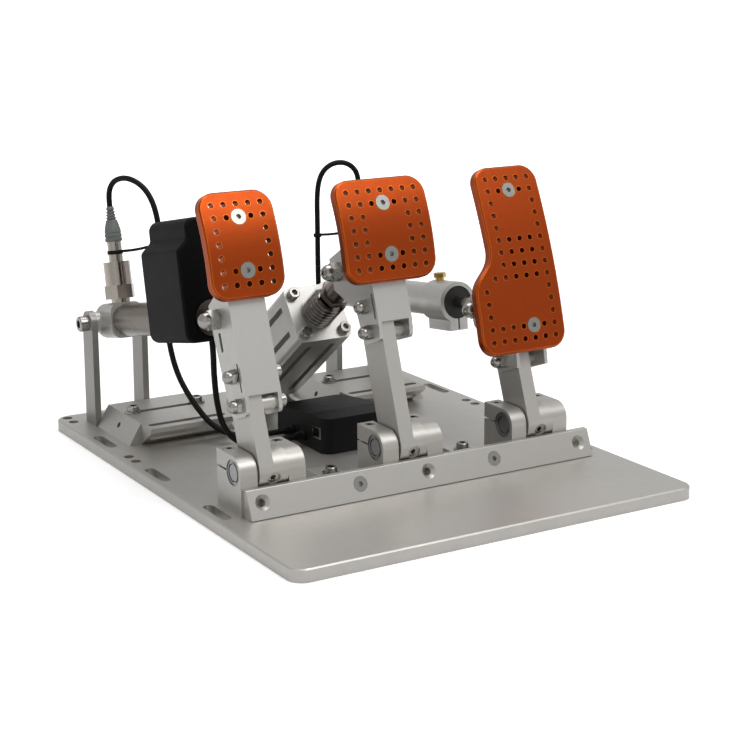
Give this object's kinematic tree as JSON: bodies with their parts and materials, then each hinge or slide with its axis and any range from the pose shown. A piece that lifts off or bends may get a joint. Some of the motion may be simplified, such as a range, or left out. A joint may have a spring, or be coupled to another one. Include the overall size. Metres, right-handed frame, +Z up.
{
  "type": "sim racing pedal set",
  "caption": "Racing pedal set: clutch, brake and throttle with perforated pads on leaning arms, each pushing a cylinder on one base plate.",
  "frame": {"origin": "centre of the base plate's outline, on its underside", "axes": "+X to the driver's right, +Y away from the driver along the plate's long side, +Z up"},
  "size_m": [0.35, 0.45, 0.2416],
  "materials": {
    "satin_aluminium": "satin anodised",
    "bright_aluminium": "fine bead-blasted, silver anodised",
    "orange_anodised": "orange anodised",
    "stainless_screws": "turned stainless",
    "bearing_steel": "ground steel",
    "spring_steel": "dark polished",
    "nickel": "nickel plated",
    "brass": "turned brass",
    "black_cover": "moulded, satin black",
    "box_plastic": "moulded black",
    "grey_plug": "moulded grey-green",
    "bush_rubber": "black rubber",
    "cable_rubber": "black cable jacket"
  },
  "bodies": {
    "root": {"base_plate": "satin_aluminium", "flat_screws": "stainless_screws", "front_rail": "satin_aluminium", "rail_brackets": "satin_aluminium", "pedal_feet": "satin_aluminium", "pinch_screws": "stainless_screws", "pivot_bearings": "bearing_steel", "thrust_washers": "brass", "rear_bridges": "satin_aluminium", "rear_posts": "satin_aluminium", "plate_screws": "stainless_screws", "rear_pivot_bolts": "stainless_screws", "brake_rear_clevis": "satin_aluminium", "control_box_base": "box_plastic", "control_box_lid": "box_plastic", "usb_socket": "nickel", "clutch_cable": "cable_rubber", "cover_cable": "cable_rubber", "throttle_cable": "cable_rubber"},
    "clutch_pedal": {"clutch_arm": "satin_aluminium", "clutch_axle": "bearing_steel", "clutch_pad_bracket": "bright_aluminium", "clutch_bracket_bolts": "stainless_screws", "clutch_pad": "orange_anodised", "clutch_screws": "stainless_screws", "clutch_spacers": "satin_aluminium"},
    "brake_pedal": {"brake_arm": "satin_aluminium", "brake_axle": "bearing_steel", "brake_pad_bracket": "bright_aluminium", "brake_bracket_bolts": "stainless_screws", "brake_pad": "orange_anodised", "brake_screws": "stainless_screws", "brake_spacers": "satin_aluminium"},
    "throttle_pedal": {"throttle_arm": "satin_aluminium", "throttle_axle": "bearing_steel", "throttle_pad_bracket": "bright_aluminium", "throttle_bracket_bolts": "stainless_screws", "throttle_pad": "orange_anodised", "throttle_screws": "stainless_screws", "throttle_spacers": "satin_aluminium"},
    "clutch_cylinder_body": {"clutch_end_cap": "bright_aluminium", "clutch_tube": "nickel", "clutch_cover": "black_cover", "clutch_sensor": "nickel", "clutch_connector": "grey_plug"},
    "clutch_rod_body": {"clutch_push_rod": "nickel"},
    "brake_cylinder_body": {"brake_cylinder": "bright_aluminium", "brake_front_cap": "bright_aluminium", "brake_cap_bolts": "stainless_screws", "brake_rear_cap": "bright_aluminium", "disc_springs": "spring_steel"},
    "brake_rod_body": {"brake_rod": "nickel"},
    "throttle_cylinder_body": {"throttle_end_cap": "bright_aluminium", "throttle_tube": "bright_aluminium", "throttle_clamp": "bright_aluminium", "throttle_bush": "bush_rubber", "throttle_knob": "brass", "throttle_sensor": "nickel", "throttle_connector": "grey_plug"},
    "throttle_rod_body": {"throttle_push_rod": "nickel"}
  },
  "joints": [
    {"name": "clutch_pedal_pivot", "type": "hinge", "parent": "root", "child": "clutch_pedal", "pos_m": [-0.1287, -0.0935, 0.0408], "axis": [-1, 0, 0], "range_deg": [0, 12], "stiffness_Nm_per_rad": 12, "springref_deg": -20.05},
    {"name": "clutch_cylinder_tilt", "type": "hinge", "parent": "root", "child": "clutch_cylinder_body", "pos_m": [-0.1287, 0.187, 0.1], "axis": [1, 0, 0], "range_deg": [0, 1.7], "deforming": ["clutch_cable", "cover_cable"]},
    {"name": "clutch_rod_slide", "type": "slide", "parent": "clutch_cylinder_body", "child": "clutch_rod_body", "axis": [0, 0.9813, -0.1925], "range_m": [0, 0.02301]},
    {"name": "brake_pedal_pivot", "type": "hinge", "parent": "root", "child": "brake_pedal", "pos_m": [-0.0074, -0.0935, 0.0408], "axis": [-1, 0, 0], "range_deg": [0, 5], "stiffness_Nm_per_rad": 60, "springref_deg": -5.73},
    {"name": "brake_cylinder_tilt", "type": "hinge", "parent": "root", "child": "brake_cylinder_body", "pos_m": [-0.0074, 0.1635, 0.0305], "axis": [-1, 0, 0], "range_deg": [0, 0.22]},
    {"name": "brake_rod_slide", "type": "slide", "parent": "brake_cylinder_body", "child": "brake_rod_body", "axis": [0, 0.8068, -0.5908], "range_m": [0, 0.01269], "deforming": ["disc_springs"]},
    {"name": "throttle_pedal_pivot", "type": "hinge", "parent": "root", "child": "throttle_pedal", "pos_m": [0.1123, -0.0935, 0.0408], "axis": [-1, 0, 0], "range_deg": [0, 15], "stiffness_Nm_per_rad": 6, "springref_deg": -22.92},
    {"name": "throttle_cylinder_tilt", "type": "hinge", "parent": "root", "child": "throttle_cylinder_body", "pos_m": [0.1123, 0.187, 0.1], "axis": [1, 0, 0], "range_deg": [0, 3.79], "deforming": ["throttle_cable"]},
    {"name": "throttle_rod_slide", "type": "slide", "parent": "throttle_cylinder_body", "child": "throttle_rod_body", "axis": [0, 0.9941, -0.1087], "range_m": [0, 0.02176]}
  ],
  "couplings": [
    {"joint": "clutch_cylinder_tilt", "follows": "clutch_pedal_pivot", "ratio": 0.13777},
    {"joint": "clutch_rod_slide", "follows": "clutch_pedal_pivot", "m_per_rad": 0.1088},
    {"joint": "brake_cylinder_tilt", "follows": "brake_pedal_pivot", "ratio": 0.04114},
    {"joint": "brake_rod_slide", "follows": "brake_pedal_pivot", "m_per_rad": 0.14395},
    {"joint": "throttle_cylinder_tilt", "follows": "throttle_pedal_pivot", "ratio": 0.24676},
    {"joint": "throttle_rod_slide", "follows": "throttle_pedal_pivot", "m_per_rad": 0.082301}
  ]
}
